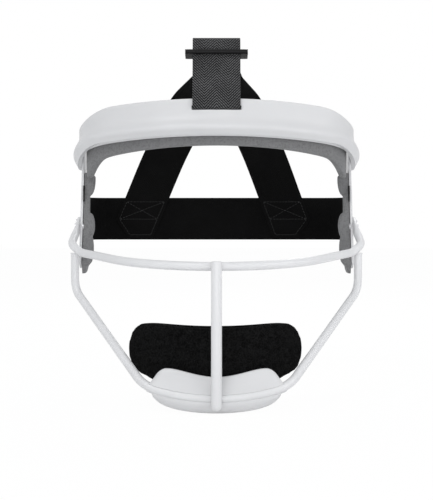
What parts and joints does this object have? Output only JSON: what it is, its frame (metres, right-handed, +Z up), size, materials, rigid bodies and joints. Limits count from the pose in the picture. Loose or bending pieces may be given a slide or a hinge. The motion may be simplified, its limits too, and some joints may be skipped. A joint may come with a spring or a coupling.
{
  "type": "softball face guard",
  "caption": "White softball face guard with a brow band, welded bars, a chin cup, foam pads and black head straps",
  "frame": {"origin": "middle of the space for the head, level with the middle of the rear strap", "axes": "+X the wearer's left, -Y the way the face looks, +Z up"},
  "size_m": [0.328, 0.2723, 0.3828],
  "materials": {
    "white_plastic": "glossy",
    "white_coating": "glossy",
    "screw_steel": "satin",
    "black_cover": "matte",
    "hook_tape": "matte",
    "grey_foam": "matte",
    "grey_webbing": "matte",
    "black_webbing": "matte",
    "black_plastic": "glossy"
  },
  "bodies": {
    "guard": {"brow_band": "white_plastic", "face_frame": "white_plastic", "band_screws": "screw_steel", "nose_bar": "white_coating", "bar_rivets": "screw_steel", "rivet_washers": "screw_steel", "jaw_bar": "white_coating", "centre_bar": "white_coating", "chin_cup": "white_plastic", "cup_screws": "screw_steel", "chin_pad": "black_cover", "chin_hook_tape": "hook_tape", "brow_pad": "grey_foam", "brow_hook_tape": "hook_tape", "temple_pad_left": "grey_foam", "temple_pad_right": "grey_foam", "temple_hook_tape": "hook_tape", "top_strap": "grey_webbing", "crown_strap_left": "black_webbing", "crown_strap_right": "black_webbing", "crown_patch": "hook_tape", "rear_strap": "black_webbing", "rear_hook_tab_left": "hook_tape", "rear_hook_tab_right": "hook_tape"},
    "adjuster": {"slider": "black_plastic"}
  },
  "joints": [
    {"name": "slider_on_strap", "type": "slide", "parent": "guard", "child": "adjuster", "axis": [0, 0.1736, 0.9848], "range_m": [-0.0045, 0.009]}
  ]
}
